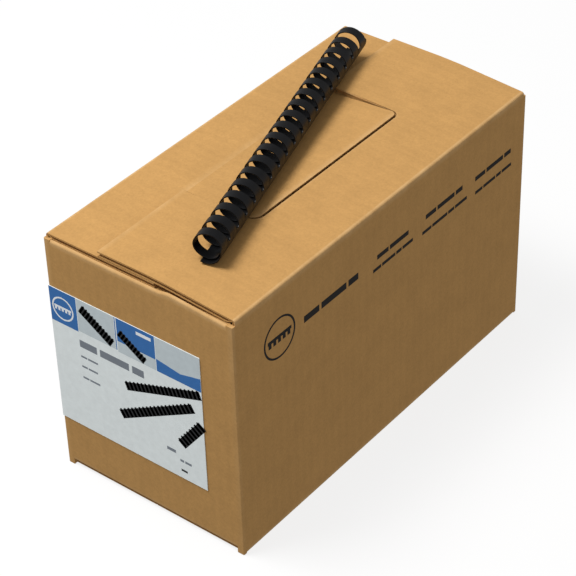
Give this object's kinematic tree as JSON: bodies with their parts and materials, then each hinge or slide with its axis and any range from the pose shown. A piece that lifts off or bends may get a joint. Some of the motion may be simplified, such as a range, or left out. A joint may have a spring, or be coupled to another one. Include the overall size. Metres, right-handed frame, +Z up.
{
  "type": "carton of plastic binding combs",
  "caption": "Corrugated carton of plastic binding combs with folding lid flaps, a lock tongue and a loose comb lying on its lid.",
  "frame": {"origin": "middle of the carton's base, on the surface it stands on", "axes": "+Z up, +Y along the carton away from the labelled end, +X towards the side wall that the outer lid flap is hinged on"},
  "size_m": [0.1574, 0.3263, 0.221],
  "materials": {
    "kraft_board": "matt brown kraft liner on fluted board",
    "label_paper": "coated white paper, printed",
    "black_pvc": "glossy black moulded sheet",
    "black_ink": "matt black ink printed on the board"
  },
  "bodies": {
    "carton": {"front_wall": "kraft_board", "back_wall": "kraft_board", "left_wall": "kraft_board", "right_wall": "kraft_board", "glue_joint_flap": "kraft_board", "bottom_left_flap": "kraft_board", "bottom_right_flap": "kraft_board", "bottom_front_flap": "kraft_board", "bottom_back_flap": "kraft_board", "label": "label_paper", "stock_comb_01": "black_pvc", "stock_comb_02": "black_pvc", "stock_comb_03": "black_pvc", "stock_comb_04": "black_pvc", "stock_comb_05": "black_pvc", "stock_comb_06": "black_pvc", "stock_comb_07": "black_pvc", "stock_comb_08": "black_pvc", "stock_comb_09": "black_pvc", "stock_comb_10": "black_pvc", "stock_comb_11": "black_pvc", "stock_comb_12": "black_pvc", "stock_comb_13": "black_pvc", "stock_comb_14": "black_pvc", "stock_comb_15": "black_pvc", "stock_comb_16": "black_pvc", "stock_comb_17": "black_pvc", "stock_comb_18": "black_pvc", "stock_comb_19": "black_pvc", "stock_comb_20": "black_pvc", "stock_comb_21": "black_pvc", "stock_comb_22": "black_pvc", "stock_comb_23": "black_pvc", "stock_comb_24": "black_pvc", "stock_comb_25": "black_pvc", "stock_comb_26": "black_pvc", "stock_comb_27": "black_pvc", "stock_comb_28": "black_pvc", "stock_comb_29": "black_pvc", "stock_comb_30": "black_pvc", "stock_comb_31": "black_pvc", "stock_comb_32": "black_pvc", "stock_comb_33": "black_pvc", "stock_comb_34": "black_pvc", "stock_comb_35": "black_pvc", "stock_comb_36": "black_pvc", "stock_comb_37": "black_pvc", "stock_comb_38": "black_pvc", "stock_comb_39": "black_pvc", "stock_comb_40": "black_pvc", "stock_comb_41": "black_pvc", "stock_comb_42": "black_pvc", "stock_comb_43": "black_pvc"},
    "outer_lid": {"outer_lid_flap": "kraft_board"},
    "inner_lid": {"inner_lid_flap": "kraft_board"},
    "tongue": {"lock_tongue": "kraft_board"},
    "front_end_flap": {"top_front_flap": "kraft_board"},
    "back_end_flap": {"top_back_flap": "kraft_board"},
    "comb": {"loose_comb": "black_pvc"}
  },
  "joints": [
    {"name": "outer_lid_hinge", "type": "hinge", "parent": "carton", "child": "outer_lid", "pos_m": [0.0787, 0, 0.1955], "axis": [0, 1, 0], "range_deg": [0, 178]},
    {"name": "inner_lid_hinge", "type": "hinge", "parent": "carton", "child": "inner_lid", "pos_m": [-0.0787, 0, 0.1955], "axis": [0, -1, 0], "range_deg": [0, 107]},
    {"name": "lock_tongue_hinge", "type": "hinge", "parent": "inner_lid", "child": "tongue", "pos_m": [-0.0327, 0, 0.1915], "axis": [0, -1, 0], "range_deg": [-25, 0]},
    {"name": "front_end_flap_hinge", "type": "hinge", "parent": "carton", "child": "front_end_flap", "pos_m": [0, -0.1586, 0.1872], "axis": [1, 0, 0], "range_deg": [-25, 0]},
    {"name": "back_end_flap_hinge", "type": "hinge", "parent": "carton", "child": "back_end_flap", "pos_m": [0, 0.1586, 0.1872], "axis": [-1, 0, 0], "range_deg": [-25, 0]},
    {"name": "comb_lift", "type": "slide", "parent": "outer_lid", "child": "comb", "axis": [0, 0, 1], "range_m": [0, 0.12]}
  ],
  "couplings": [
    {"joint": "inner_lid_hinge", "follows": "outer_lid_hinge", "ratio": 0.6}
  ]
}
